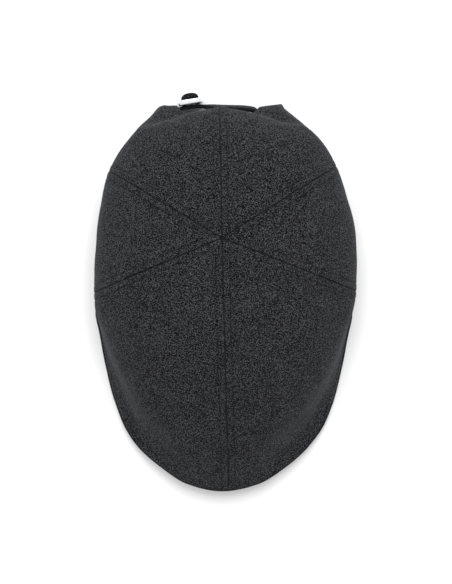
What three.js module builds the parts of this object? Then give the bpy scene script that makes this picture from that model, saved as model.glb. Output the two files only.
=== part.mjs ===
import * as THREE from "three";

// Flat cap with six crown panels, its back at +Y and its peak at -Y, +X to the right, +Z up.
// Places on it are given as an azimuth from the back (negative to the left) and a radius from the
// crown point, where the six panels meet. All lengths are in millimetres, all angles in degrees.

// Driving dimensions
const CLOTH = 2;
const GAP = 0.3;
const CROWN_HEIGHT = 88;
const TIP_RADIUS = 0.8;
const PEAK_THICKNESS = 3.4;
const PEAK_SLOPE = 10;
const HEAD_OVAL = { half_width: 83.5, half_length: 100.5, centre_x: 0.6, centre_y: -10 };
const ARCH = { azimuth: -1.45, half_width: 17.35, height: 34, squareness: 4.5 };
const STRAP = { height: 16, thickness: 3, bottom: 3.8 };
const SLIDE = { width: 17.6, height: 22.8, thickness: 3, bar: 2, corner: 3.4, slot_corner: 1, bevel: 0.6 };
const SLIDE_PLACE = { x: -23.06, y: 100.69, azimuth: -9, lean: 4 };

// Seams between neighbouring panels
const SEAMS = {
  back: -1.1,
  back_left: -58.9,
  back_right: 57.5,
  front_left: -112.8,
  front_right: 111.1,
  front: 178.5,
};

// Crown sections: each pair is [radius, height] on the outside of the cloth, from the crown point down to
// the edge. slope is the cloth's slope below the horizontal at the edge, and wider is the share by which
// the radius grows on the right side and shrinks on the left.
const CROWN = [
  { azimuth: 0, wider: 0, top: [48, 85], shoulder: [79.4, 70.5], bulge: [94.7, 47.5],
    waist: [93.2, 37.5], foot: [94.6, 20], edge: [95.4, 0], slope: 86 },
  { azimuth: 4.5, wider: -0.002, top: [48, 85], shoulder: [79, 70.5], bulge: [93.6, 47.5],
    waist: [92, 37.5], foot: [94.8, 20], edge: [95.8, 0], slope: 85 },
  { azimuth: 10, wider: 0, top: [48, 85], shoulder: [79, 70.5], bulge: [93.1, 47.5],
    waist: [91.8, 37.5], foot: [97, 20], edge: [98, 0], slope: 84 },
  { azimuth: 15, wider: -0.002, top: [48, 85], shoulder: [79, 70.5], bulge: [92.9, 47.5],
    waist: [91.9, 37.5], foot: [99.4, 20.5], edge: [100.3, 0], slope: 82 },
  { azimuth: 19, wider: 0, top: [48, 85], shoulder: [79, 70.5], bulge: [92.8, 47.5],
    waist: [92.4, 37], foot: [102.3, 20.5], edge: [103.3, 0], slope: 84 },
  { azimuth: 21.5, wider: 0.003, top: [48, 85], shoulder: [79, 70.5], bulge: [92.9, 47.5],
    waist: [92.8, 37], foot: [104, 20.5], edge: [105.9, 0], slope: 80 },
  { azimuth: 23.5, wider: 0.004, top: [48, 85], shoulder: [79, 70.5], bulge: [93.2, 47.5],
    waist: [93.1, 37], foot: [105.3, 20], edge: [108.4, 0], slope: 76 },
  { azimuth: 25.5, wider: -0.007, top: [48, 85], shoulder: [79.3, 70.4], bulge: [93.6, 47.4],
    waist: [93.4, 37], foot: [104.6, 19.5], edge: [107.4, 0], slope: 78 },
  { azimuth: 30, wider: 0.001, top: [48, 85], shoulder: [80, 70.2], bulge: [95.2, 47],
    waist: [94.8, 36], foot: [102.9, 18], edge: [104.9, 0], slope: 82 },
  { azimuth: 37, wider: 0.004, top: [48, 85], shoulder: [82, 69.5], bulge: [99.7, 46],
    waist: [99.7, 35], foot: [101.8, 18], edge: [102.7, 0], slope: 86 },
  { azimuth: 45, wider: 0.011, top: [48, 84.8], shoulder: [81.5, 69], bulge: [98.6, 44.5],
    waist: [98.5, 33], foot: [97.8, 18], edge: [96.8, 0], slope: 90 },
  { azimuth: 60, wider: 0.0115, top: [47, 84.6], shoulder: [78.5, 68.5], bulge: [95.3, 43],
    waist: [94.8, 31], foot: [93.1, 17], edge: [91, 0.2], slope: 94 },
  { azimuth: 75, wider: 0.0216, top: [46, 84.4], shoulder: [76, 68], bulge: [92.3, 42],
    waist: [91.6, 30], foot: [89.6, 17], edge: [87, 1.4], slope: 96 },
  { azimuth: 90, wider: 0.0304, top: [46.5, 84.2], shoulder: [76.5, 67.5], bulge: [93, 41.5],
    waist: [92.5, 30], foot: [90.5, 17], edge: [86.5, 3.2], slope: 98 },
  { azimuth: 105, wider: 0.0277, top: [49, 83.4], shoulder: [80, 66.5], bulge: [97.3, 41],
    waist: [97.2, 30], foot: [95.6, 18], edge: [90.7, 4.8], slope: 98 },
  { azimuth: 114, wider: 0.0215, top: [52, 82.6], shoulder: [84, 65.5], bulge: [102.2, 41],
    waist: [102.6, 30], foot: [101.7, 18], edge: [99, 5], slope: 93 },
  { azimuth: 120, wider: 0.0135, top: [54, 82], shoulder: [87.5, 64.5], bulge: [105.7, 41],
    waist: [106.5, 31], foot: [106.9, 19], edge: [107.2, 5.2], slope: 84 },
  { azimuth: 127, wider: 0.013, top: [57, 81.4], shoulder: [92, 63.5], bulge: [108.1, 42],
    waist: [109.9, 31], foot: [111, 19], edge: [112.7, 5.2], slope: 66 },
  { azimuth: 137, wider: 0.0125, top: [61, 80.6], shoulder: [99.5, 61.5], bulge: [115.2, 42],
    waist: [118.4, 29], foot: [120.5, 17], edge: [125.4, 6], slope: 30 },
  { azimuth: 147, wider: 0.012, top: [65, 79.8], shoulder: [109, 58.5], bulge: [125.4, 40],
    waist: [129.9, 27], foot: [134, 16.6], edge: [143.2, 8], slope: 16 },
  { azimuth: 158, wider: 0.0035, top: [69, 79.2], shoulder: [119, 56.5], bulge: [138.8, 39.5],
    waist: [145, 28.5], foot: [150.6, 19.6], edge: [162.3, 12], slope: 14 },
  { azimuth: 165, wider: 0.003, top: [72, 78.8], shoulder: [124, 56], bulge: [144.8, 41],
    waist: [151.4, 32], foot: [158.1, 23.6], edge: [170.7, 15], slope: 17 },
  { azimuth: 172, wider: 0.001, top: [74, 78.6], shoulder: [127, 56], bulge: [147.8, 43],
    waist: [155.9, 36], foot: [165.2, 27.6], edge: [178.3, 17], slope: 26 },
  { azimuth: 180, wider: 0, top: [75, 78.6], shoulder: [128, 56], bulge: [148.8, 43.5],
    waist: [157.4, 37.4], foot: [167.6, 29.6], edge: [181.4, 18.4], slope: 32 },
];
const PLACES = ["top", "shoulder", "bulge", "waist", "foot", "edge"];
const BULGE_STEP = 3;
const EDGE_STEP = 6;

// Peak sections: radius of the outer edge and how far its underside stands above the surface there
const PEAK = [
  { azimuth: 106, edge: 91, lift: 0.6 },
  { azimuth: 110, edge: 96, lift: 0.5 },
  { azimuth: 114, edge: 101.5, lift: 0.3 },
  { azimuth: 120, edge: 108.5, lift: 0.1 },
  { azimuth: 127, edge: 114, lift: 0 },
  { azimuth: 137, edge: 126.7, lift: 0 },
  { azimuth: 147, edge: 144.5, lift: 1.6 },
  { azimuth: 152.5, edge: 155.1, lift: 3.6 },
  { azimuth: 158, edge: 163.6, lift: 5.6 },
  { azimuth: 165, edge: 172, lift: 8.4 },
  { azimuth: 172, edge: 179.6, lift: 10.6 },
  { azimuth: 180, edge: 182.7, lift: 12 },
];
const PEAK_COLUMNS = 44;
const PEAK_RIM_SIDES = 6;
const LEAST_PEAK_DEPTH = 2;

// The strap's middle in plan: at each end it follows the inside of a back panel at some azimuths, and it
// runs free between them, close behind the slide
const STRAP_ON_PANEL = [49, 46];
const STRAP_FREE = [
  { azimuth: 42, radius: 93.2 },
  { azimuth: 30, radius: 93.5 },
  { azimuth: 20, radius: 93.9 },
  { azimuth: 16.5, radius: 94.4 },
  { azimuth: 12.8, radius: 96.7 },
  { azimuth: 9, radius: 97.1 },
  { azimuth: 3, radius: 96.6 },
  { azimuth: -2, radius: 96.7 },
  { azimuth: -7, radius: 97.4 },
  { azimuth: -10, radius: 98.4 },
  { azimuth: -13, radius: 99.2 },
  { azimuth: -16, radius: 98.8 },
  { azimuth: -19, radius: 96.5 },
  { azimuth: -22, radius: 96.2 },
  { azimuth: -30, radius: 95.4 },
  { azimuth: -42, radius: 93.2 },
];

// Half of the loop that holds the slide to the strap, along the slide from its middle and out of it: its
// foot is by the strap, and it passes through a slot and over the centre bar
const STRAP_LOOP = [
  { along: 4.9, out: -2.2 },
  { along: 4.9, out: -1.2 },
  { along: 4.9, out: 0.2 },
  { along: 4.9, out: 1.3 },
  { along: 4.3, out: 2.75 },
  { along: 2.5, out: 3.65 },
  { along: 0, out: 3.88 },
];
const STRAP_SPACING = 4;
const LOOP_SPACING = 0.9;

// Height steps of a panel, in sections between the named places of CROWN: 0 is the tip and 6 the edge
const STEPS = [
  0, 0.2, 0.45, 0.75, 1, 1.35, 1.7, 2, 2.25, 2.5, 2.75, 3, 3.35, 3.7, 4, 4.35, 4.7, 5, 5.35, 5.7, 6,
];

// Columns of a panel: over the arch, at these azimuths along the back hem, and on side and front panels.
// Between these two steps a column turns from its place at the crown to its place at the edge.
const ARCH_COLUMNS = 8;
const HEM_COLUMNS = [17, 19, 20.5, 22, 23.5, 25, 27, 30, 34, 38, 43, 48, 53];
const SIDE_COLUMNS = 13;
const FRONT_COLUMNS = 20;
const TURN_STEPS = [1, 3.6];

// Small differences over which a surface's direction is measured
const STEP_NUDGE = 0.02;
const AZIMUTH_NUDGE = 0.2;

// Materials
const WOOL = { color: 0x303236, metalness: 0, roughness: 0.95 };
const STRAP_WOOL = { color: 0x25272a, metalness: 0, roughness: 0.95 };
const METAL = { color: 0xc9ccd0, metalness: 1, roughness: 0.25 };

const radians = (degrees) => (degrees * Math.PI) / 180;
const clamp = (value, low, high) => Math.min(high, Math.max(low, value));
const mix = (from, to, share) => from + (to - from) * share;

function smoothStep(value, low, high) {
  const share = clamp((value - low) / (high - low), 0, 1);
  return share * share * (3 - 2 * share);
}

// Smooth curve through the rows of a table that makes no overshoot between them, level at both ends
function curveThrough(places, values) {
  const steps = [];
  const slopes = [];
  for (let i = 0; i < places.length - 1; i += 1) {
    steps.push(places[i + 1] - places[i]);
    slopes.push((values[i + 1] - values[i]) / steps[i]);
  }
  const tangents = [0];
  for (let i = 1; i < places.length - 1; i += 1) {
    const before = slopes[i - 1];
    const after = slopes[i];
    const weightBefore = 2 * steps[i] + steps[i - 1];
    const weightAfter = steps[i] + 2 * steps[i - 1];
    const even = (weightBefore + weightAfter) / (weightBefore / before + weightAfter / after);
    tangents.push(before * after <= 0 ? 0 : even);
  }
  tangents.push(0);
  return (place) => {
    let i = 0;
    while (i < places.length - 2 && place > places[i + 1]) i += 1;
    const share = clamp((place - places[i]) / steps[i], 0, 1);
    const rest = 1 - share;
    return values[i] * rest * rest * (1 + 2 * share)
      + tangents[i] * steps[i] * share * rest * rest
      + values[i + 1] * share * share * (3 - 2 * share)
      - tangents[i + 1] * steps[i] * share * share * rest;
  };
}

function columnOf(table, read) {
  return curveThrough(table.map((row) => row.azimuth), table.map(read));
}

const wider = columnOf(CROWN, (row) => row.wider);
const edgeSlope = columnOf(CROWN, (row) => row.slope);
const placeRadius = PLACES.map((place) => columnOf(CROWN, (row) => row[place][0]));
const placeHeight = PLACES.map((place) => columnOf(CROWN, (row) => row[place][1]));
const edgeRadius = placeRadius[PLACES.length - 1];
const edgeHeight = placeHeight[PLACES.length - 1];
const peakEdge = columnOf(PEAK, (row) => row.edge);
const peakLift = columnOf(PEAK, (row) => row.lift);

// Azimuth brought to between -180 and 180
function unwrapped(azimuth) {
  if (azimuth > 180) return azimuth - 360;
  return azimuth < -180 ? azimuth + 360 : azimuth;
}

// Point in space from azimuth, radius and height, with the right side a little wider than the left
function pointAt(azimuth, radius, height) {
  const turned = unwrapped(azimuth);
  const stretched = radius * (1 + Math.sign(turned) * wider(Math.abs(turned)));
  const angle = radians(turned);
  return new THREE.Vector3(stretched * Math.sin(angle), stretched * Math.cos(angle), height);
}

// Height of the peak's upper face
function peakTop(azimuth, radius) {
  const half = PEAK_THICKNESS / 2;
  const slope = radians(PEAK_SLOPE);
  const rise = (peakEdge(azimuth) - half - radius) * Math.tan(slope);
  return peakLift(azimuth) + half + rise + half / Math.cos(slope);
}

// Edge of the crown's cloth: over the peak it lies on the peak's upper face
function crownEdge(azimuth) {
  const radius = edgeRadius(azimuth);
  const height = edgeHeight(azimuth);
  if (azimuth < PEAK[0].azimuth) return [radius, height];
  const slope = radians(edgeSlope(azimuth));
  const innerRadius = radius - CLOTH * Math.sin(slope);
  const resting = peakTop(azimuth, innerRadius) + GAP + CLOTH * Math.max(0, Math.cos(slope));
  return [radius, Math.max(height, resting)];
}

// Profile of the outside of the cloth at one azimuth, as points with a tangent at each
const profiles = new Map();
function profileAt(azimuth) {
  const turned = Math.abs(unwrapped(azimuth));
  const key = turned.toFixed(4);
  if (profiles.has(key)) return profiles.get(key);
  const points = [new THREE.Vector2(TIP_RADIUS, CROWN_HEIGHT)];
  for (let i = 0; i < PLACES.length - 1; i += 1) {
    points.push(new THREE.Vector2(placeRadius[i](turned), placeHeight[i](turned)));
  }
  points.push(new THREE.Vector2(...crownEdge(turned)));
  const chords = points.slice(1).map((point, i) => point.distanceTo(points[i]));
  const tangents = points.map((point, i) => {
    if (i === 0) return new THREE.Vector2(1, 0);
    if (i === points.length - 1) {
      const slope = radians(edgeSlope(turned));
      return new THREE.Vector2(Math.cos(slope), -Math.sin(slope));
    }
    const before = point.clone().sub(points[i - 1]).divideScalar(chords[i - 1]);
    const after = points[i + 1].clone().sub(point).divideScalar(chords[i]);
    const total = chords[i - 1] + chords[i];
    return before.multiplyScalar(chords[i] / total).add(after.multiplyScalar(chords[i - 1] / total));
  });
  const profile = { points, chords, tangents };
  profiles.set(key, profile);
  return profile;
}

function profilePoint(azimuth, step) {
  const { points, chords, tangents } = profileAt(azimuth);
  const i = Math.min(Math.floor(step), chords.length - 1);
  const share = step - i;
  const rest = 1 - share;
  return points[i].clone().multiplyScalar(rest * rest * (1 + 2 * share))
    .add(tangents[i].clone().multiplyScalar(chords[i] * share * rest * rest))
    .add(points[i + 1].clone().multiplyScalar(share * share * (3 - 2 * share)))
    .sub(tangents[i + 1].clone().multiplyScalar(chords[i] * share * share * rest));
}

function outside(azimuth, step) {
  const point = profilePoint(azimuth, step);
  return pointAt(azimuth, point.x, point.y);
}

// Inside of the cloth: one cloth thickness in along the normal of the outside, and not below the surface
function inside(azimuth, step) {
  const low = Math.max(0, step - STEP_NUDGE);
  const high = Math.min(EDGE_STEP, step + STEP_NUDGE);
  const down = outside(azimuth, high).sub(outside(azimuth, low));
  const around = outside(azimuth + AZIMUTH_NUDGE, step).sub(outside(azimuth - AZIMUTH_NUDGE, step));
  const normal = around.cross(down).normalize();
  const point = outside(azimuth, step).addScaledVector(normal, -CLOTH);
  point.z = Math.max(0, point.z);
  return point;
}

// Step between bulge and edge at which the outside of the cloth is at a height
function stepAtHeight(azimuth, height) {
  const halvings = 40;
  let low = BULGE_STEP;
  let high = EDGE_STEP;
  for (let i = 0; i < halvings; i += 1) {
    const middle = (low + high) / 2;
    if (profilePoint(azimuth, middle).y > height) low = middle;
    else high = middle;
  }
  return (low + high) / 2;
}

// Geometry whose faces all look outward
function closedGeometry(positions, triangles) {
  let volume = 0;
  for (let i = 0; i < triangles.length; i += 3) {
    const [a, b, c] = [0, 1, 2].map((k) => new THREE.Vector3().fromArray(positions, triangles[i + k] * 3));
    volume += a.dot(b.cross(c));
  }
  if (volume < 0) {
    for (let i = 0; i < triangles.length; i += 3) {
      [triangles[i + 1], triangles[i + 2]] = [triangles[i + 2], triangles[i + 1]];
    }
  }
  const geometry = new THREE.BufferGeometry();
  geometry.setAttribute("position", new THREE.Float32BufferAttribute(positions, 3));
  geometry.setIndex(triangles);
  geometry.computeVertexNormals();
  return geometry;
}

// Closed solid between two grids of points that lie one cloth thickness apart
function solidBetween(outer, inner) {
  const rows = outer.length;
  const columns = outer[0].length;
  const positions = [];
  [outer, inner].forEach((grid) => grid.flat().forEach((point) => positions.push(...point.toArray())));
  const layer = rows * columns;
  const at = (row, column, side) => side * layer + row * columns + column;
  const triangles = [];
  const quad = (a, b, c, d) => triangles.push(a, b, c, a, c, d);
  for (let i = 0; i < rows - 1; i += 1) {
    for (let j = 0; j < columns - 1; j += 1) {
      quad(at(i, j, 0), at(i + 1, j, 0), at(i + 1, j + 1, 0), at(i, j + 1, 0));
      quad(at(i, j, 1), at(i, j + 1, 1), at(i + 1, j + 1, 1), at(i + 1, j, 1));
    }
    quad(at(i, 0, 0), at(i, 0, 1), at(i + 1, 0, 1), at(i + 1, 0, 0));
    quad(at(i, columns - 1, 0), at(i + 1, columns - 1, 0), at(i + 1, columns - 1, 1), at(i, columns - 1, 1));
  }
  for (let j = 0; j < columns - 1; j += 1) {
    quad(at(0, j, 0), at(0, j + 1, 0), at(0, j + 1, 1), at(0, j, 1));
    quad(at(rows - 1, j, 0), at(rows - 1, j, 1), at(rows - 1, j + 1, 1), at(rows - 1, j + 1, 0));
  }
  return closedGeometry(positions, triangles);
}

// Closed solid swept through a row of closed cross-sections, with flat ends
function sweptSolid(sections) {
  const around = sections[0].length;
  const positions = sections.flat().flatMap((point) => point.toArray());
  const triangles = [];
  for (let i = 0; i < sections.length - 1; i += 1) {
    for (let j = 0; j < around; j += 1) {
      const next = (j + 1) % around;
      const [a, b] = [i * around + j, i * around + next];
      triangles.push(a, b, b + around, a, b + around, a + around);
    }
  }
  const last = (sections.length - 1) * around;
  for (let j = 1; j < around - 1; j += 1) {
    triangles.push(0, j + 1, j);
    triangles.push(last, last + j, last + j + 1);
  }
  return closedGeometry(positions, triangles);
}

// A panel between two seams, half a gap clear of each. Each column runs from its azimuth at the crown to
// its azimuth at the edge, and ends at the edge or at the arch over the strap.
function panelGeometry(firstSeam, lastSeam, ends) {
  const count = ends.length;
  const way = Math.sign(lastSeam - firstSeam);
  const rowPoint = (read, row, j) => {
    const end = ends[j];
    const stop = end.stop ?? EDGE_STEP;
    const below = (row - BULGE_STEP) / (EDGE_STEP - BULGE_STEP);
    const step = row <= BULGE_STEP ? row : mix(BULGE_STEP, stop, below);
    const start = mix(firstSeam, lastSeam, j / (count - 1));
    const azimuth = mix(start, end.azimuth, smoothStep(step, ...TURN_STEPS));
    const radius = profilePoint(azimuth, step).x;
    const clear = way * THREE.MathUtils.radToDeg(Math.asin(GAP / 2 / radius));
    const share = (azimuth - firstSeam) / (lastSeam - firstSeam);
    return read(mix(firstSeam + clear, lastSeam - clear, share), step);
  };
  const grid = (read) => STEPS.map((row) => ends.map((end, j) => rowPoint(read, row, j)));
  return solidBetween(grid(outside), grid(inside));
}

// Column ends of a side or front panel: evenly spread from seam to seam
function evenEnds(from, to, count) {
  return Array.from({ length: count }, (unused, i) => ({ azimuth: mix(from, to, i / (count - 1)) }));
}

// Column ends of a back panel: along the arch from the back seam to the arch's foot, then along the hem
function backPanelEnds(side, lastSeam) {
  const ends = [];
  const seamShare = Math.abs(SEAMS.back - ARCH.azimuth) / ARCH.half_width;
  const firstTurn = Math.acos(Math.pow(seamShare, ARCH.squareness / 2));
  for (let i = 0; i <= ARCH_COLUMNS; i += 1) {
    const turn = firstTurn * (1 - i / ARCH_COLUMNS);
    const across = Math.pow(Math.cos(turn), 2 / ARCH.squareness);
    const height = ARCH.height * Math.pow(Math.sin(turn), 2 / ARCH.squareness);
    const azimuth = i === 0 ? SEAMS.back : ARCH.azimuth + side * ARCH.half_width * across;
    ends.push({ azimuth, stop: i === ARCH_COLUMNS ? EDGE_STEP : stepAtHeight(azimuth, height) });
  }
  const foot = Math.abs(ARCH.azimuth + side * ARCH.half_width);
  const hem = HEM_COLUMNS.filter((azimuth) => azimuth > foot + 1);
  hem.forEach((azimuth) => ends.push({ azimuth: side * azimuth }));
  ends.push({ azimuth: lastSeam });
  return ends;
}

// Oval of the head opening, as a radius about the crown point
function headRadius(azimuth) {
  const direction = { x: Math.sin(radians(azimuth)), y: Math.cos(radians(azimuth)) };
  const centreX = HEAD_OVAL.centre_x * Math.sign(direction.x);
  const sideways = HEAD_OVAL.half_width ** 2;
  const lengthways = HEAD_OVAL.half_length ** 2;
  const a = direction.x ** 2 / sideways + direction.y ** 2 / lengthways;
  const b = (direction.x * centreX) / sideways + (direction.y * HEAD_OVAL.centre_y) / lengthways;
  const c = centreX ** 2 / sideways + HEAD_OVAL.centre_y ** 2 / lengthways - 1;
  return (b + Math.sqrt(b * b - a * c)) / a;
}

// Stiff peak: a sloping crescent with a rounded outer edge, its horns ending under the sides of the crown
function peakGeometry() {
  const start = PEAK[0].azimuth;
  const slope = radians(PEAK_SLOPE);
  const halfThick = PEAK_THICKNESS / 2;
  const throughPeak = halfThick / Math.cos(slope);
  const flat = [0.66, 0.33, 0];
  const sections = [];
  for (let i = 0; i <= PEAK_COLUMNS; i += 1) {
    const azimuth = mix(start, 360 - start, i / PEAK_COLUMNS);
    const turned = Math.abs(unwrapped(azimuth));
    const outer = peakEdge(turned);
    const inner = Math.min(headRadius(turned), outer - LEAST_PEAK_DEPTH);
    const rim = Math.min(halfThick, (outer - inner) * 0.45);
    const middle = (radius) => peakLift(turned) + halfThick + (outer - halfThick - radius) * Math.tan(slope);
    const section = [];
    for (let k = 0; k <= PEAK_RIM_SIDES; k += 1) {
      const turn = Math.PI / 2 - (k / PEAK_RIM_SIDES) * Math.PI;
      const height = middle(outer - rim) + halfThick * Math.sin(turn);
      section.push(pointAt(azimuth, outer - rim + rim * Math.cos(turn), height));
    }
    flat.forEach((share) => {
      const radius = mix(inner, outer - rim, share);
      section.push(pointAt(azimuth, radius, middle(radius) - throughPeak));
    });
    flat.slice().reverse().forEach((share) => {
      const radius = mix(inner, outer - rim, share);
      section.push(pointAt(azimuth, radius, middle(radius) + throughPeak));
    });
    sections.push(section);
  }
  return sweptSolid(sections);
}

// Plan directions at the slide: along the strap to the left, and outward
const slideAngle = radians(SLIDE_PLACE.azimuth);
const slideOut = new THREE.Vector3(Math.sin(slideAngle), Math.cos(slideAngle), 0);
const slideAlong = new THREE.Vector3(-slideOut.y, slideOut.x, 0);
const slideMiddle = new THREE.Vector3(SLIDE_PLACE.x, SLIDE_PLACE.y, STRAP.bottom + STRAP.height / 2);

function roundedBox(path, left, low, right, high, radius) {
  path.moveTo(left + radius, low);
  path.lineTo(right - radius, low);
  path.absarc(right - radius, low + radius, radius, -Math.PI / 2, 0);
  path.lineTo(right, high - radius);
  path.absarc(right - radius, high - radius, radius, 0, Math.PI / 2);
  path.lineTo(left + radius, high);
  path.absarc(left + radius, high - radius, radius, Math.PI / 2, Math.PI);
  path.lineTo(left, low + radius);
  path.absarc(left + radius, low + radius, radius, Math.PI, (3 * Math.PI) / 2);
}

// Slide: a rounded frame with a centre bar, its lower side standing further out
function slideGeometry() {
  const { bevel, bar } = SLIDE;
  const [halfWidth, halfHeight] = [SLIDE.width / 2, SLIDE.height / 2];
  const [frameX, frameY] = [halfWidth - bevel, halfHeight - bevel];
  const shape = new THREE.Shape();
  roundedBox(shape, -frameX, -frameY, frameX, frameY, SLIDE.corner - bevel);
  const [near, far, slotY] = [bar / 2 - bevel, halfWidth - bar + bevel, halfHeight - bar + bevel];
  [[-far, -near], [near, far]].forEach(([left, right]) => {
    const slot = new THREE.Path();
    roundedBox(slot, left, -slotY, right, slotY, SLIDE.slot_corner + bevel);
    shape.holes.push(slot);
  });
  const geometry = new THREE.ExtrudeGeometry(shape, {
    depth: SLIDE.thickness - 2 * bevel,
    bevelEnabled: true,
    bevelThickness: bevel,
    bevelSize: bevel,
    bevelSegments: 1,
    curveSegments: 3,
  });
  geometry.translate(0, 0, -(SLIDE.thickness - 2 * bevel) / 2);
  geometry.rotateX(radians(-SLIDE_PLACE.lean));
  const turn = new THREE.Matrix4().makeBasis(slideAlong, new THREE.Vector3(0, 0, 1), slideOut);
  geometry.applyMatrix4(turn.setPosition(slideMiddle));
  return geometry;
}

// Radius at which the strap's middle runs along the inside of a back panel
function strapAlongPanel(azimuth) {
  const heights = [-1, 1, 3, 5, 7, 9, 11, 13, 15, 17].map((above) => STRAP.bottom + above);
  const radii = heights.map((height) => {
    const point = inside(azimuth, stepAtHeight(azimuth, height));
    return Math.hypot(point.x, point.y);
  });
  return Math.min(...radii) - 2 * GAP - STRAP.thickness / 2;
}

// Line of the strap's middle in plan, from its right end to its left end
function strapLine() {
  const planPoint = (azimuth, radius) => {
    const angle = radians(azimuth);
    return new THREE.Vector3(radius * Math.sin(angle), radius * Math.cos(angle), 0);
  };
  const onPanel = (azimuth) => planPoint(azimuth, strapAlongPanel(azimuth));
  const points = [
    ...STRAP_ON_PANEL.map((azimuth) => onPanel(azimuth)),
    ...STRAP_FREE.map((row) => planPoint(row.azimuth, row.radius)),
    ...STRAP_ON_PANEL.slice().reverse().map((azimuth) => onPanel(-azimuth)),
  ];
  return new THREE.CatmullRomCurve3(points, false, "centripetal");
}

// Line of the loop's middle in plan, from foot to foot over the slide's centre bar
function loopLine() {
  const besideSlide = (along, out) => slideMiddle.clone()
    .addScaledVector(slideAlong, along)
    .addScaledVector(slideOut, out)
    .setZ(0);
  const points = [
    ...STRAP_LOOP.map((row) => besideSlide(-row.along, row.out)),
    ...STRAP_LOOP.slice(0, -1).reverse().map((row) => besideSlide(row.along, row.out)),
  ];
  return new THREE.CatmullRomCurve3(points, false, "centripetal");
}

// Upright band of the strap's cloth, swept along a line
function bandGeometry(line, spacing) {
  const steps = Math.ceil(line.getLength() / spacing);
  const sections = Array.from({ length: steps + 1 }, (unused, i) => {
    const middle = line.getPointAt(i / steps);
    const along = line.getTangentAt(i / steps);
    const out = new THREE.Vector3(along.y, -along.x, 0);
    const corner = (side, level) => middle.clone()
      .addScaledVector(out, side * STRAP.thickness / 2)
      .setZ(STRAP.bottom + level * STRAP.height);
    return [corner(1, 0), corner(1, 1), corner(-1, 1), corner(-1, 0)];
  });
  return sweptSolid(sections);
}

const cap = new THREE.Group();
cap.name = "flat_cap";

function add(name, geometry, finish) {
  const mesh = new THREE.Mesh(geometry, new THREE.MeshStandardMaterial(finish));
  mesh.name = name;
  cap.add(mesh);
}

function addBackPanel(name, side, seam) {
  add(name, panelGeometry(SEAMS.back, seam, backPanelEnds(side, seam)), WOOL);
}

function addEvenPanel(name, from, to, columns) {
  add(name, panelGeometry(from, to, evenEnds(from, to, columns)), WOOL);
}

addBackPanel("crown_panel_back_left", -1, SEAMS.back_left);
addBackPanel("crown_panel_back_right", 1, SEAMS.back_right);
addEvenPanel("crown_panel_side_left", SEAMS.back_left, SEAMS.front_left, SIDE_COLUMNS);
addEvenPanel("crown_panel_side_right", SEAMS.back_right, SEAMS.front_right, SIDE_COLUMNS);
addEvenPanel("crown_panel_front_left", SEAMS.front_left, SEAMS.front - 360, FRONT_COLUMNS);
addEvenPanel("crown_panel_front_right", SEAMS.front_right, SEAMS.front, FRONT_COLUMNS);
add("peak", peakGeometry(), WOOL);
add("strap", bandGeometry(strapLine(), STRAP_SPACING), STRAP_WOOL);
add("strap_loop", bandGeometry(loopLine(), LOOP_SPACING), STRAP_WOOL);
add("slide_buckle", slideGeometry(), METAL);

// The cap stands on the surface with the middle of its outline over the origin
const bounds = new THREE.Box3().setFromObject(cap);
const shift = bounds.getCenter(new THREE.Vector3()).setZ(bounds.min.z).negate();
cap.children.forEach((mesh) => mesh.geometry.translate(shift.x, shift.y, shift.z));

export default cap;
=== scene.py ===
import math

import bpy
import numpy as np
from mathutils import Matrix, Vector, noise


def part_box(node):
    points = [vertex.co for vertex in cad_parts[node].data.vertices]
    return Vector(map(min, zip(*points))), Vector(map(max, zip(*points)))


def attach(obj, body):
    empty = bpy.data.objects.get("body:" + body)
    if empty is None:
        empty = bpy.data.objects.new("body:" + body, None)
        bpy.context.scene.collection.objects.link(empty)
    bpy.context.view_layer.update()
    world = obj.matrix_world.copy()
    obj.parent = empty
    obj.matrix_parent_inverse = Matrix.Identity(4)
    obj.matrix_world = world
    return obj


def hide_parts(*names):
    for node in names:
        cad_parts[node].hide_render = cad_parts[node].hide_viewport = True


# Flat cap with six wool panels, a stiff peak and a back strap with a slide, dressed over the CAD frame.
# Places on the cap are an azimuth from the back (negative to the left) and a radius from the crown point.
# Lengths are in millimetres and angles in degrees until a mesh is written in metres.

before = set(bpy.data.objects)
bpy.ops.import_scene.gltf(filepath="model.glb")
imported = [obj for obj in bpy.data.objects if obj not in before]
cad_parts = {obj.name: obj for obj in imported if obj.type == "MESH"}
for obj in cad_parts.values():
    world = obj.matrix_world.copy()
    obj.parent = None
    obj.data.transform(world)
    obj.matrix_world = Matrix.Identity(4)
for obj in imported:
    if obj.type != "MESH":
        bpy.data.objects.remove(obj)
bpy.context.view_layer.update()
MM = 0.001

# Driving dimensions, as in the part, but for the slide's thickness: here it fills the gap inside the loop
CLOTH = 2.0
GAP = 0.3
CROWN_HEIGHT = 88.0
TIP_RADIUS = 0.15
PEAK_THICKNESS = 3.4
PEAK_SLOPE = 10.0
HEAD_OVAL = {"half_width": 83.5, "half_length": 100.5, "centre_x": 0.6, "centre_y": -10.0}
ARCH = {"azimuth": -1.45, "half_width": 17.35, "height": 34.0, "squareness": 4.5}
STRAP = {"height": 16.0, "thickness": 3.0, "bottom": 3.8}
SLIDE = {"width": 17.6, "height": 22.8, "thickness": 3.7, "bar": 2.0, "corner": 3.4}
SLIDE_PLACE = {"x": -23.06, "y": 100.69, "azimuth": -9.0, "lean": 4.0}
SEAMS = {"back": -1.1, "back_left": -58.9, "back_right": 57.5, "front_left": -112.8, "front_right": 111.1,
         "front": 178.5}

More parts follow.
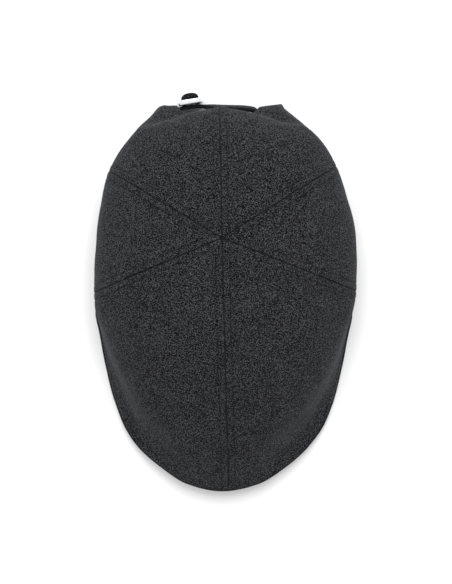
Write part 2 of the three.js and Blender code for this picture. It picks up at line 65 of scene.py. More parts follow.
# Crown sections, each place as (radius, height) on the outside of the cloth
CROWN_COLUMNS = ("azimuth", "wider", "top", "shoulder", "bulge", "waist", "foot", "edge", "slope")
CROWN = (
    (0, 0, (48, 85), (79.4, 70.5), (94.7, 47.5), (93.2, 37.5), (94.6, 20), (95.4, 0), 86),
    (4.5, -0.002, (48, 85), (79, 70.5), (93.6, 47.5), (92, 37.5), (94.8, 20), (95.8, 0), 85),
    (10, 0, (48, 85), (79, 70.5), (93.1, 47.5), (91.8, 37.5), (97, 20), (98, 0), 84),
    (15, -0.002, (48, 85), (79, 70.5), (92.9, 47.5), (91.9, 37.5), (99.4, 20.5), (100.3, 0), 82),
    (19, 0, (48, 85), (79, 70.5), (92.8, 47.5), (92.4, 37), (102.3, 20.5), (103.3, 0), 84),
    (21.5, 0.003, (48, 85), (79, 70.5), (92.9, 47.5), (92.8, 37), (104, 20.5), (105.9, 0), 80),
    (23.5, 0.004, (48, 85), (79, 70.5), (93.2, 47.5), (93.1, 37), (105.3, 20), (108.4, 0), 76),
    (25.5, -0.007, (48, 85), (79.3, 70.4), (93.6, 47.4), (93.4, 37), (104.6, 19.5), (107.4, 0), 78),
    (30, 0.001, (48, 85), (80, 70.2), (95.2, 47), (94.8, 36), (102.9, 18), (104.9, 0), 82),
    (37, 0.004, (48, 85), (82, 69.5), (99.7, 46), (99.7, 35), (101.8, 18), (102.7, 0), 86),
    (45, 0.011, (48, 84.8), (81.5, 69), (98.6, 44.5), (98.5, 33), (97.8, 18), (96.8, 0), 90),
    (60, 0.0115, (47, 84.6), (78.5, 68.5), (95.3, 43), (94.8, 31), (93.1, 17), (91, 0.2), 94),
    (75, 0.0216, (46, 84.4), (76, 68), (92.3, 42), (91.6, 30), (89.6, 17), (87, 1.4), 96),
    (90, 0.0304, (46.5, 84.2), (76.5, 67.5), (93, 41.5), (92.5, 30), (90.5, 17), (86.5, 3.2), 98),
    (105, 0.0277, (49, 83.4), (80, 66.5), (97.3, 41), (97.2, 30), (95.6, 18), (90.7, 4.8), 98),
    (114, 0.0215, (52, 82.6), (84, 65.5), (102.2, 41), (102.6, 30), (101.7, 18), (99, 5), 93),
    (120, 0.0135, (54, 82), (87.5, 64.5), (105.7, 41), (106.5, 31), (106.9, 19), (107.2, 5.2), 84),
    (127, 0.013, (57, 81.4), (92, 63.5), (108.1, 42), (109.9, 31), (111, 19), (112.7, 5.2), 66),
    (137, 0.0125, (61, 80.6), (99.5, 61.5), (115.2, 42), (118.4, 29), (120.5, 17), (125.4, 6), 30),
    (147, 0.012, (65, 79.8), (109, 58.5), (125.4, 40), (129.9, 27), (134, 16.6), (143.2, 8), 16),
    (158, 0.0035, (69, 79.2), (119, 56.5), (138.8, 39.5), (145, 28.5), (150.6, 19.6), (162.3, 12), 14),
    (165, 0.003, (72, 78.8), (124, 56), (144.8, 41), (151.4, 32), (158.1, 23.6), (170.7, 15), 17),
    (172, 0.001, (74, 78.6), (127, 56), (147.8, 43), (155.9, 36), (165.2, 27.6), (178.3, 17), 26),
    (180, 0, (75, 78.6), (128, 56), (148.8, 43.5), (157.4, 37.4), (167.6, 29.6), (181.4, 18.4), 32),
)
PLACES = ("top", "shoulder", "bulge", "waist", "foot", "edge")
BULGE_STEP = 3
EDGE_STEP = 6

# Peak sections: azimuth, radius of the outer edge, and height of its underside over the surface
PEAK = (
    (106, 91, 0.6),
    (110, 96, 0.5),
    (114, 101.5, 0.3),
    (120, 108.5, 0.1),
    (127, 114, 0),
    (137, 126.7, 0),
    (147, 144.5, 1.6),
    (152.5, 155.1, 3.6),
    (158, 163.6, 5.6),
    (165, 172, 8.4),
    (172, 179.6, 10.6),
    (180, 182.7, 12),
)

# The strap's middle in plan: azimuths where it follows the back panels at each end, and its free stretch
# between them as (azimuth, radius), a little further out than in the part because it leans
STRAP_ON_PANEL = (49, 46)
STRAP_FREE = ((42, 93.2), (30, 93.5), (22, 94.2), (17.8, 95), (15.8, 96.1), (13.6, 97.4), (10, 97.1),
              (3, 96.2), (-2, 96.4), (-7, 97.6), (-10, 98.6), (-13, 99.3), (-16, 99.9), (-18, 99.6),
              (-19.8, 98.2), (-22.5, 97), (-25, 96.3), (-30, 95.4), (-42, 93.2))

# Half of the loop that holds the slide to the strap, as (along the slide, out of it)
STRAP_LOOP = ((4.9, -2.2), (4.9, -1.2), (4.9, 0.2), (4.9, 1.3), (4.3, 2.7), (2.4, 3.65), (0, 3.85))

# Seam allowances show as a crease on each side of every seam, this far from it
ALLOWANCE = 4.95

# Small differences over which a surface's direction is measured
STEP_NUDGE = 0.02
AZIMUTH_NUDGE = 0.2

# Places closer than this are one vertex
MERGE = 0.004

# Times that the stretch of a profile is halved to find a height on it
HALVINGS = 30


def smooth_step(value, low, high):
    share = np.clip((value - low) / (high - low), 0, 1)
    return share * share * (3 - 2 * share)


def unit(vectors):
    return vectors / np.linalg.norm(vectors, axis=-1, keepdims=True)


def curve_through(places, values):
    """Smooth curve through the rows of a table, with no overshoot between them and level at both ends."""
    places = np.array(places, dtype=float)
    values = np.array(values, dtype=float)
    steps = np.diff(places)
    slopes = np.diff(values) / steps
    before, after = slopes[:-1], slopes[1:]
    weight_before = 2 * steps[1:] + steps[:-1]
    weight_after = steps[1:] + 2 * steps[:-1]
    with np.errstate(divide="ignore", invalid="ignore"):
        even = (weight_before + weight_after) / (weight_before / before + weight_after / after)
    tangents = np.concatenate([[0], np.where(before * after <= 0, 0, even), [0]])

    def read(place):
        i = np.clip(np.searchsorted(places, place, side="right") - 1, 0, len(places) - 2)
        share = np.clip((place - places[i]) / steps[i], 0, 1)
        rest = 1 - share
        return (values[i] * rest * rest * (1 + 2 * share) + tangents[i] * steps[i] * share * rest * rest
                + values[i + 1] * share * share * (3 - 2 * share)
                - tangents[i + 1] * steps[i] * share * share * rest)

    return read


def crown_column(name, part=None):
    column = CROWN_COLUMNS.index(name)
    values = [row[column] if part is None else row[column][part] for row in CROWN]
    return curve_through([row[0] for row in CROWN], values)


wider = crown_column("wider")
edge_slope = crown_column("slope")
place_radius = [crown_column(name, 0) for name in PLACES]
place_height = [crown_column(name, 1) for name in PLACES]
peak_edge = curve_through([row[0] for row in PEAK], [row[1] for row in PEAK])
peak_lift = curve_through([row[0] for row in PEAK], [row[2] for row in PEAK])


def unwrapped(azimuth):
    return np.where(azimuth > 180, azimuth - 360, np.where(azimuth < -180, azimuth + 360, azimuth))


def point_at(azimuth, radius, height):
    """Point about the crown point, with the right side a little wider than the left."""
    turned = unwrapped(azimuth)
    stretched = radius * (1 + np.sign(turned) * wider(np.abs(turned)))
    angle = np.radians(turned)
    return np.stack([stretched * np.sin(angle), stretched * np.cos(angle), height + 0 * stretched], axis=-1)


def peak_top(azimuth, radius):
    half = PEAK_THICKNESS / 2
    slope = math.radians(PEAK_SLOPE)
    rise = (peak_edge(azimuth) - half - radius) * math.tan(slope)
    return peak_lift(azimuth) + half + rise + half / math.cos(slope)


def crown_edge(azimuth):
    """Edge of the crown's cloth, which lies on the peak's upper face where there is a peak."""
    radius = place_radius[-1](azimuth)
    height = place_height[-1](azimuth)
    slope = np.radians(edge_slope(azimuth))
    inner = radius - CLOTH * np.sin(slope)
    resting = peak_top(azimuth, inner) + GAP + CLOTH * np.maximum(0, np.cos(slope))
    return radius, np.where(azimuth < PEAK[0][0], height, np.maximum(height, resting))


def profile_point(azimuth, step):
    """Radius and height on the outside of the cloth: step 0 is the crown point and 6 the edge."""
    turned = np.abs(unwrapped(azimuth))
    radii = [np.full_like(turned, TIP_RADIUS)] + [read(turned) for read in place_radius[:-1]]
    heights = [np.full_like(turned, CROWN_HEIGHT)] + [read(turned) for read in place_height[:-1]]
    radius, height = crown_edge(turned)
    points = np.stack([np.stack(radii + [radius]), np.stack(heights + [height])], axis=-1)
    chords = np.linalg.norm(np.diff(points, axis=0), axis=-1)[..., None]
    ratio = np.diff(points, axis=0) / chords
    middle = (ratio[:-1] * chords[1:] + ratio[1:] * chords[:-1]) / (chords[1:] + chords[:-1])
    slope = np.radians(edge_slope(turned))
    last = np.stack([np.cos(slope), -np.sin(slope)], axis=-1)
    first = np.zeros_like(last)
    first[..., 0] = 1
    tangents = np.concatenate([first[None], middle, last[None]])
    i = np.minimum(np.floor(step), EDGE_STEP - 1).astype(int)

    def pick(values):
        index = np.broadcast_to(i[None, ..., None], (1,) + i.shape + (values.shape[-1],))
        return np.take_along_axis(values, index, axis=0)[0]

    share = (step - i)[..., None]
    rest = 1 - share
    chord = pick(chords)
    start, start_tangent = pick(points), pick(tangents)
    end, end_tangent = pick(points[1:]), pick(tangents[1:])
    return (start * rest * rest * (1 + 2 * share) + start_tangent * chord * share * rest * rest
            + end * share * share * (3 - 2 * share) - end_tangent * chord * share * share * rest)


def outside(azimuth, step):
    point = profile_point(azimuth, step)
    return point_at(azimuth, point[..., 0], point[..., 1])


def outward(azimuth, step):
    """Unit normal of the outside of the crown."""
    low = np.maximum(0, step - STEP_NUDGE)
    high = np.minimum(EDGE_STEP, step + STEP_NUDGE)
    down = outside(azimuth, high) - outside(azimuth, low)
    around = outside(azimuth + AZIMUTH_NUDGE, step) - outside(azimuth - AZIMUTH_NUDGE, step)
    return unit(np.cross(around, down))


def step_at_height(azimuth, height):
    low = np.full(np.shape(azimuth), float(BULGE_STEP))
    high = np.full(np.shape(azimuth), float(EDGE_STEP))
    for _ in range(HALVINGS):
        middle = (low + high) / 2
        over = profile_point(azimuth, middle)[..., 1] > height
        low = np.where(over, middle, low)
        high = np.where(over, high, middle)
    return (low + high) / 2


# The crown point in the frame, from the peak's front edge and the side panels' widest points
SIDE_AZIMUTHS = np.linspace(80, 100, 41)
SIDE_STEPS = np.linspace(2.8, 4, 25)
side_azimuth, side_step = np.meshgrid(SIDE_AZIMUTHS, SIDE_STEPS, indexing="ij")
reach_left = -outside(-side_azimuth, side_step)[..., 0].min()
reach_right = outside(side_azimuth, side_step)[..., 0].max()
left_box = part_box("crown_panel_side_left")
right_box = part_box("crown_panel_side_right")
peak_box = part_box("peak")
CROWN_POINT = np.array([
    (left_box[0][0] / MM + reach_left + right_box[1][0] / MM - reach_right) / 2,
    peak_box[0][1] / MM + PEAK[-1][1],
    0,
])


def nothing_selected():
    bpy.ops.object.select_all(action="DESELECT")


def only_selected(piece):
    nothing_selected()
    piece.select_set(True)
    bpy.context.view_layer.objects.active = piece


def finish_piece(piece, node, material, smooth_angle=None):
    """Rides the piece on the cap, has it stand for its CAD node and gives it its finish."""
    piece.data.materials.clear()
    piece.data.materials.append(material)
    only_selected(piece)
    bpy.ops.object.shade_smooth()
    if smooth_angle is not None:
        bpy.ops.object.shade_smooth_by_angle(angle=math.radians(smooth_angle))
    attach(piece, "root")
    if node:
        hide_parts(node)


def grid_piece(name, points):
    """Grid primitive whose rows and columns of vertices are moved to the given points."""
    rows, columns = points.shape[:2]
    nothing_selected()
    bpy.ops.mesh.primitive_grid_add(x_subdivisions=columns - 1, y_subdivisions=rows - 1, size=2)
    piece = bpy.context.object
    piece.name = name
    piece.data.name = name
    piece.data.vertices.foreach_set("co", ((points + CROWN_POINT) * MM).reshape(-1))
    piece.data.update()
    return piece


def close_piece(piece, fill_ends=False):
    """Merges edges that lie on each other, fills open ends and turns the faces outward."""
    only_selected(piece)
    bpy.ops.object.mode_set(mode="EDIT")
    bpy.ops.mesh.select_all(action="SELECT")
    bpy.ops.mesh.remove_doubles(threshold=MERGE * MM)
    if fill_ends:
        bpy.ops.mesh.select_all(action="DESELECT")
        bpy.ops.mesh.select_non_manifold()
        bpy.ops.mesh.fill_holes(sides=0)
        bpy.ops.mesh.select_all(action="SELECT")
    bpy.ops.mesh.normals_make_consistent(inside=False)
    bpy.ops.object.mode_set(mode="OBJECT")


def flatten_on_surface(piece):
    """Cloth that rests on the surface doesn't go through it."""
    for vertex in piece.data.vertices:
        vertex.co.z = max(vertex.co.z, 0)


def select_vertices(piece, wanted):
    """Selects, in edit mode, the vertices that the test picks by their x and y."""
    bpy.ops.mesh.select_all(action="DESELECT")
    bpy.ops.object.mode_set(mode="OBJECT")
    for vertex in piece.data.vertices:
        vertex.select = wanted(vertex.co.x / MM, vertex.co.y / MM)
    bpy.ops.object.mode_set(mode="EDIT")


def add_and_apply(piece, kind, **values):
    """Adds a modifier to the piece and applies it."""
    modifier = piece.modifiers.new(kind.lower(), kind)
    for name, value in values.items():
        setattr(modifier, name, value)
    only_selected(piece)
    bpy.ops.object.modifier_apply(modifier=modifier.name)


def join_pieces(name, pieces):
    nothing_selected()
    for piece in pieces:
        piece.select_set(True)
    bpy.context.view_layer.objects.active = pieces[0]
    bpy.ops.object.join()
    joined = bpy.context.object
    joined.name = name
    joined.data.name = name
    return joined


# Materials

# Sizes of the wool's pattern: pale flecks, single fibres, soft clouds, and the patches along the seams, whose
# darkening is painted shade of their grooves and pressed nap
FLECK_SIZE = 0.66
FIBRE_SIZE = 0.3
CLOUD_SIZE = 14
SEAM_PATCH_SIZE = 5
FIBRE_SHARE = 0.25
CLOUD_SHADE = {"from_min": 0.3, "from_max": 0.7, "to_min": 0.9, "to_max": 1.1}
NAP_HEIGHT = 0.3

# Where dark, middling and light fibres stand in the pattern, and how light the middling ones are
FIBRE_STOPS = (0.475, 0.53, 0.585)
MIDDLING = 0.26

# How the darkening of a seam and of the creases beside it, painted shade of the grooves with pressed nap,
# fades with distance, and how patchy it is
IN_SEAM = {"from_min": 0.2, "from_max": 0.7, "to_min": 0.05}
ON_CREASE = {"from_min": 0.25, "from_max": 0.9, "to_min": 0.62}
PATCHY = {"from_min": 0.36, "from_max": 0.6, "to_min": 0.55}

# Dark and light fibres and sheen of each wool; the crown's are the cloth's own tones
CROWN_WOOL = ((0.0025, 0.0025, 0.0028), (0.0615, 0.0626, 0.0666), 0.07)
# Painted shade: the peak's wool is the crown's made darker, for its rim lying in shade under the crown's edge
SHADED_PEAK_WOOL = ((0.0022, 0.0022, 0.0025), (0.051, 0.052, 0.055), 0.065)
# Painted shade: the strap's wool is the crown's made much darker, for the strap standing in shade behind the
# crown
SHADED_STRAP_WOOL = ((0.002, 0.002, 0.0022), (0.03, 0.0305, 0.0325), 0.06)
SHEEN_TINT = (0.85, 0.88, 0.92, 1)

NICKEL = (0.84, 0.85, 0.87, 1)
WEAR_SIZE = 1.1
WEAR = {"to_min": 0.1, "to_max": 0.22}
BLACK = (0.006, 0.006, 0.007, 1)
TWIST_SIZE = 0.25
TWIST_HEIGHT = 0.1


def add_node(tree, kind, **values):
    """Adds a node and sets its options, and its sockets by their names in small letters."""
    made = tree.nodes.new(kind)
    for name, value in values.items():
        if hasattr(made, name):
            setattr(made, name, value)
        else:
            made.inputs[name.replace("_", " ").title()].default_value = value
    return made


def blank_material(name):
    material = bpy.data.materials.new(name)
    material.use_nodes = True
    tree = material.node_tree
    place_on = add_node(tree, "ShaderNodeTexCoord")
    return material, tree, tree.nodes["Principled BSDF"], place_on.outputs["Object"]


def noise_on(tree, place_on, size, **values):
    texture = add_node(tree, "ShaderNodeTexNoise", scale=1 / (size * MM), **values)
    tree.links.new(place_on, texture.inputs["Vector"])
    return texture.outputs["Fac"]


def mapped(tree, value, **values):
    """The value carried from one range to another."""
    change = add_node(tree, "ShaderNodeMapRange", **values)
    tree.links.new(value, change.inputs["Value"])
    return change.outputs["Result"]


def scaled(tree, colour, amount):
    """The colour made lighter or darker."""
    product = add_node(tree, "ShaderNodeVectorMath", operation="SCALE")
    tree.links.new(colour, product.inputs[0])
    tree.links.new(amount, product.inputs["Scale"])
    return product.outputs["Vector"]


def add_relief(tree, shader, height, **values):
    relief = add_node(tree, "ShaderNodeBump", **values)
    tree.links.new(height, relief.inputs["Height"])
    tree.links.new(relief.outputs["Normal"], shader.inputs["Normal"])


def seam_shade_and_press(tree, place_on):
    """Painted shade in the seams and along the creases of their allowances beside them, with the nap pressed
    darker there, unevenly.
    """
    distance = add_node(tree, "ShaderNodeAttribute", attribute_name="seam_distance").outputs["Fac"]
    in_seam = mapped(tree, distance, interpolation_type="SMOOTHSTEP", **IN_SEAM)
    away = add_node(tree, "ShaderNodeMath", operation="SUBTRACT")
    away.inputs[1].default_value = ALLOWANCE
    tree.links.new(distance, away.inputs[0])
    beside = add_node(tree, "ShaderNodeMath", operation="ABSOLUTE")
    tree.links.new(away.outputs[0], beside.inputs[0])
    on_crease = mapped(tree, beside.outputs[0], interpolation_type="SMOOTHSTEP", **ON_CREASE)
    both = add_node(tree, "ShaderNodeMath", operation="MULTIPLY")
    tree.links.new(in_seam, both.inputs[0])
    tree.links.new(on_crease, both.inputs[1])
    patches = mapped(tree, noise_on(tree, place_on, SEAM_PATCH_SIZE, detail=2), **PATCHY)
    pressed = add_node(tree, "ShaderNodeMix", data_type="FLOAT")
    pressed.inputs[2].default_value = 1
    tree.links.new(patches, pressed.inputs[0])
    tree.links.new(both.outputs[0], pressed.inputs[3])
    return pressed.outputs[0]


def wool_material(name, dark, light, sheen, with_seams=False):
    """Melange wool flannel: pale and dark fibres in a fine felted nap."""
    material, tree, shader, place_on = blank_material(name)
    shader.inputs["Roughness"].default_value = 0.95
    shader.inputs["Specular IOR Level"].default_value = 0.02
    shader.inputs["Sheen Weight"].default_value = sheen
    shader.inputs["Sheen Roughness"].default_value = 0.5
    shader.inputs["Sheen Tint"].default_value = SHEEN_TINT
    fleck = noise_on(tree, place_on, FLECK_SIZE, detail=0.6, roughness=0.5)
    fibre = noise_on(tree, place_on, FIBRE_SIZE, detail=1, roughness=0.6, distortion=1)
    cloud = noise_on(tree, place_on, CLOUD_SIZE, detail=3, roughness=0.6)
    blend = add_node(tree, "ShaderNodeMix", data_type="FLOAT")
    blend.inputs[0].default_value = FIBRE_SHARE
    tree.links.new(fleck, blend.inputs[2])
    tree.links.new(fibre, blend.inputs[3])
    ramp = add_node(tree, "ShaderNodeValToRGB")
    middling = tuple((1 - MIDDLING) * a + MIDDLING * b for a, b in zip(dark, light))
    ramp.color_ramp.elements.new(FIBRE_STOPS[1])
    for stop, position, colour in zip(ramp.color_ramp.elements, FIBRE_STOPS, (dark, middling, light)):
        stop.position = position
        stop.color = colour + (1,)
    tree.links.new(blend.outputs[0], ramp.inputs["Fac"])
    colour = scaled(tree, ramp.outputs["Color"], mapped(tree, cloud, **CLOUD_SHADE))
    if with_seams:
        # The seams and the creases beside them darken the colour: painted shade of their grooves, and pressed
        # nap
        colour = scaled(tree, colour, seam_shade_and_press(tree, place_on))
    tree.links.new(colour, shader.inputs["Base Color"])
    add_relief(tree, shader, blend.outputs[0], strength=0.5, distance=NAP_HEIGHT * MM)
    return material


def metal_material(name):
    """Polished nickel with faint wear."""
    material, tree, shader, place_on = blank_material(name)
    shader.inputs["Base Color"].default_value = NICKEL
    shader.inputs["Metallic"].default_value = 1
    wear = noise_on(tree, place_on, WEAR_SIZE, detail=3, roughness=0.6)
    tree.links.new(mapped(tree, wear, **WEAR), shader.inputs["Roughness"])
    return material


def thread_material(name):
    """Black sewing thread with its twist as a fine relief."""
    material, tree, shader, place_on = blank_material(name)
    shader.inputs["Base Color"].default_value = BLACK
    shader.inputs["Roughness"].default_value = 0.6
    twist = noise_on(tree, place_on, TWIST_SIZE, detail=1)
    add_relief(tree, shader, twist, strength=0.4, distance=TWIST_HEIGHT * MM)
    return material


crown_wool = wool_material("crown_wool", *CROWN_WOOL, with_seams=True)
# The peak's and the strap's wools are darker copies of the crown's wool: painted shade
peak_wool = wool_material("peak_wool", *SHADED_PEAK_WOOL)
strap_wool = wool_material("strap_wool", *SHADED_STRAP_WOOL)
slide_metal = metal_material("slide_metal")
black_thread = thread_material("black_thread")

# Crown panels: each is one closed sheet that runs over the outside, round the hem and back up the inside,
# and that closes at its seams, where it is rolled under

# The sheets are a little thinner than the part's, which leaves room for their lumps
THICKNESS = 1.8
SEAM_COLUMNS = (0, 0.07, 0.17, 0.32, 0.5, 0.75, 1.1, 1.7, 2.5, 3.4, 4, 4.35, 4.65, 4.95, 5.25, 5.6, 6.2,
                7.4, 9)
SEAM_ROLL = 0.8
TIP_ROLL = 1.2
TIP_STEPS = (0, 0.004, 0.011)
ROWS_PER_PLACE = (40, 34, 26, 12, 16, 12)
MIDDLE_COLUMNS = 80
HEM_TURNS = 7
ARCH_SHARE = 0.42

# Steps between which the middle columns bend from even spacing to their ends over the arch, and the
# largest share of a narrow row that the close columns beside one seam take
BEND_STEPS = (1, 3.6)
MOST_BESIDE_SEAM = 0.36
ARCH_FOOT = 0.01

# Relief beside a seam: the sunk seam, the raised allowance, its crease, and puckers along the stitches
VALLEY = {"depth": 0.16, "reach": 1.6}
RAISED = {"height": 0.14, "edge": 0.7}
CREASE = {"depth": 0.2, "reach": 0.5}
PUCKER = {"height": 0.08, "length": 6.8, "drift": 3, "drift_length": 23, "reach": 4.5}
RELIEF_FROM_TIP = 12

# Lumps of cloth that isn't pressed flat: their size, their height, and where their noise starts. They
# fade near the hem, between these heights and down to this share.
BROAD_LUMPS = {"size": 42, "height": 0.5, "start": (0, 3.1, 0)}
SMALL_LUMPS = {"size": 13, "height": 0.14, "start": (0, 0, 7.7)}
LUMPS_FADE = (12, 40)
LUMPS_AT_HEM = 0.3


def panel_steps():
    steps = [i + k / count for i, count in enumerate(ROWS_PER_PLACE) for k in range(count)]
    return np.array([*TIP_STEPS, *steps[1:], EDGE_STEP])


def even_path():
    """Share of the panel's width where each middle column ends, and how far it runs towards the edge."""
    return np.linspace(0, 1, MIDDLE_COLUMNS), np.full(MIDDLE_COLUMNS, float(EDGE_STEP))


def beside_seam(seam, way, height):
    """Azimuth of the outermost of the close columns beside a seam."""
    step = step_at_height(np.array(float(seam)), height)
    radius = profile_point(np.array(float(seam)), step)[0]
    return seam + way * math.degrees(SEAM_COLUMNS[-1] / radius)


def arch_path(last_seam):
    """Ends of a back panel's middle columns: over the arch to its foot, then along the hem."""
    side = math.copysign(1, last_seam - SEAMS["back"])
    start = beside_seam(SEAMS["back"], side, ARCH["height"])
    end = beside_seam(last_seam, -side, 0)
    arch_count = round(MIDDLE_COLUMNS * ARCH_SHARE)
    seam_share = abs(start - ARCH["azimuth"]) / ARCH["half_width"]
    first_turn = math.acos(seam_share ** (ARCH["squareness"] / 2))
    turn = first_turn * (1 - np.linspace(0, 1, arch_count))
    across = np.cos(turn) ** (2 / ARCH["squareness"])
    height = ARCH["height"] * np.sin(turn) ** (2 / ARCH["squareness"])
    arch_azimuth = ARCH["azimuth"] + side * ARCH["half_width"] * across
    stops = np.where(height > ARCH_FOOT, step_at_height(arch_azimuth, height), EDGE_STEP)
    hem = np.linspace(arch_azimuth[-1], end, MIDDLE_COLUMNS - arch_count + 1)[1:]
    share = (np.concatenate([arch_azimuth, hem]) - start) / (end - start)
    return share, np.concatenate([stops, np.full(len(hem), float(EDGE_STEP))])


def lump_at(point, lumps):
    return lumps["height"] * noise.noise(Vector(point / lumps["size"] + lumps["start"]))


def cloth_lumps(points):
    """Soft unevenness of cloth that isn't pressed flat, from millimetres to a few centimetres across."""
    lift = np.empty(points.shape[:2])
    for i in range(points.shape[0]):
        for j in range(points.shape[1]):
            lift[i, j] = lump_at(points[i, j], BROAD_LUMPS) + lump_at(points[i, j], SMALL_LUMPS)
    return lift * (LUMPS_AT_HEM + (1 - LUMPS_AT_HEM) * smooth_step(points[..., 2], *LUMPS_FADE))


def panel_grid(first, last, path):
    """Azimuth, step and distance from the nearer seam for every row and column of a panel."""
    end_share, stops = path
    way = math.copysign(1, last - first)
    seam = np.array(SEAM_COLUMNS)
    count = len(seam)
    start_share = np.linspace(0, 1, MIDDLE_COLUMNS)
    azimuths, steps, from_seam = [], [], []
    for row in panel_steps():
        below = (row - BULGE_STEP) * (stops - BULGE_STEP) / (EDGE_STEP - BULGE_STEP)
        step = np.full(MIDDLE_COLUMNS, row) if row <= BULGE_STEP else BULGE_STEP + below
        share = start_share + (end_share - start_share) * smooth_step(step, *BEND_STEPS)
        radius = profile_point(first + (last - first) * share, step)[:, 0]
        width = math.radians(abs(last - first)) * radius.mean()
        squeeze = min(1, MOST_BESIDE_SEAM * width / seam[-1])
        near_first = first + way * np.degrees(seam * squeeze / radius[0])
        near_last = last - way * np.degrees(seam * squeeze / radius[-1])[::-1]
        inner = near_first[-1] + share * (near_last[0] - near_first[-1])
        azimuth = np.concatenate([near_first, inner[1:-1], near_last])
        step = np.concatenate([np.full(count, step[0]), step[1:-1], np.full(count, step[-1])])
        radius = profile_point(azimuth, step)[:, 0]
        turn = np.minimum(np.abs(azimuth - first), np.abs(last - azimuth))
        azimuths.append(azimuth)
        steps.append(step)
        from_seam.append(np.radians(turn) * radius)
    return np.array(azimuths), np.array(steps), np.array(from_seam)


def rounded(distance, reach):
    """Quarter circle from 0 at a closed edge to 1 at the given distance from it."""
    share = np.clip(distance / reach, 0, 1)
    return np.sqrt(1 - (1 - share) ** 2)


def panel_points(first, last, path):
    """Closed grid of a panel: outside from the crown point to the hem, round the hem, and back inside."""
    azimuths, steps, from_seam = panel_grid(first, last, path)
    points = outside(azimuths, steps)
    normals = outward(azimuths, steps)
    along = np.concatenate([[0], np.cumsum(np.linalg.norm(np.diff(points[:, 0], axis=0), axis=-1))])[:, None]
    reach = np.hypot(points[..., 0], points[..., 1])
    from_tip = reach - reach[0]
    fade = np.clip(along / RELIEF_FROM_TIP, 0, 1)
    valley = -VALLEY["depth"] * np.exp(-from_seam / VALLEY["reach"])
    raised = RAISED["height"] * (1 - smooth_step(from_seam, ALLOWANCE - RAISED["edge"], ALLOWANCE))
    crease = -CREASE["depth"] * np.exp(-((from_seam - ALLOWANCE) / CREASE["reach"]) ** 2)
    wave = 2 * math.pi * along / PUCKER["length"] + PUCKER["drift"] * np.sin(along / PUCKER["drift_length"])
    pucker = PUCKER["height"] * np.sin(wave) * np.exp(-from_seam / PUCKER["reach"])
    lift = valley + (raised + crease + pucker) * fade + cloth_lumps(points)
    half = THICKNESS / 2 * rounded(from_seam, SEAM_ROLL) * rounded(from_tip, TIP_ROLL)
    middle = points + normals * (lift - THICKNESS / 2)[..., None]
    edge_along = unit(np.gradient(middle[-1], axis=0))
    past_edge = unit(np.cross(edge_along, normals[-1]))
    facing = ((middle[-1] - middle[-2]) * past_edge).sum(axis=-1)
    past_edge *= np.sign(facing)[:, None]
    middle[-1] -= past_edge * half[-1][:, None]
    outer = middle + normals * half[..., None]
    inner = middle - normals * half[..., None]
    turns = np.linspace(0, math.pi, HEM_TURNS + 2)[1:-1]
    hem = [middle[-1] + half[-1][:, None] * (math.cos(t) * normals[-1] + math.sin(t) * past_edge)
           for t in turns]
    at_hem = np.repeat(from_seam[-1:], len(hem), axis=0)
    return (np.concatenate([outer, np.array(hem), inner[::-1]]),
            np.concatenate([from_seam, at_hem, from_seam[::-1]]))


def make_panel(name, first, last, path):
    points, from_seam = panel_points(first, last, path)
    piece = grid_piece(name, points)
    seam_distance = piece.data.attributes.new("seam_distance", "FLOAT", "POINT")
    seam_distance.data.foreach_set("value", from_seam.reshape(-1))
    close_piece(piece)
    flatten_on_surface(piece)
    finish_piece(piece, name.replace("wool_", "crown_"), crown_wool)


PANELS = (
    ("wool_panel_back_left", "back", "back_left"),
    ("wool_panel_back_right", "back", "back_right"),
    ("wool_panel_side_left", "back_left", "front_left"),
    ("wool_panel_side_right", "back_right", "front_right"),
    ("wool_panel_front_left", "front_left", "front"),
    ("wool_panel_front_right", "front_right", "front"),
)
for panel_name, first_name, last_name in PANELS:
    first_seam, last_seam = SEAMS[first_name], SEAMS[last_name]
    if panel_name == "wool_panel_front_left":
        last_seam -= 360
    if first_name == "back":
        column_path = arch_path(last_seam)
    else:
        column_path = even_path()
    make_panel(panel_name, first_seam, last_seam, column_path)

# Peak

PEAK_COLUMNS = 241
RIM_POINTS = 21
FLAT_POINTS = 24
LEAST_DEPTH = 2
MOST_RIM = 0.45
PEAK_SMOOTH_TURN = 50

# The seam round the rim, sunk by this share of the rim and this wide as an angle round it
RIM_SEAM = {"depth": 0.14, "reach": 0.16}


def head_radius(azimuth):
    """Radius of the head opening about the crown point."""
    sine, cosine = math.sin(math.radians(azimuth)), math.cos(math.radians(azimuth))
    centre_x = math.copysign(HEAD_OVAL["centre_x"], sine)
    centre_y = HEAD_OVAL["centre_y"]
    sideways, lengthways = HEAD_OVAL["half_width"] ** 2, HEAD_OVAL["half_length"] ** 2
    a = sine ** 2 / sideways + cosine ** 2 / lengthways
    b = sine * centre_x / sideways + cosine * centre_y / lengthways
    c = centre_x ** 2 / sideways + centre_y ** 2 / lengthways - 1
    return (b + math.sqrt(b * b - a * c)) / a


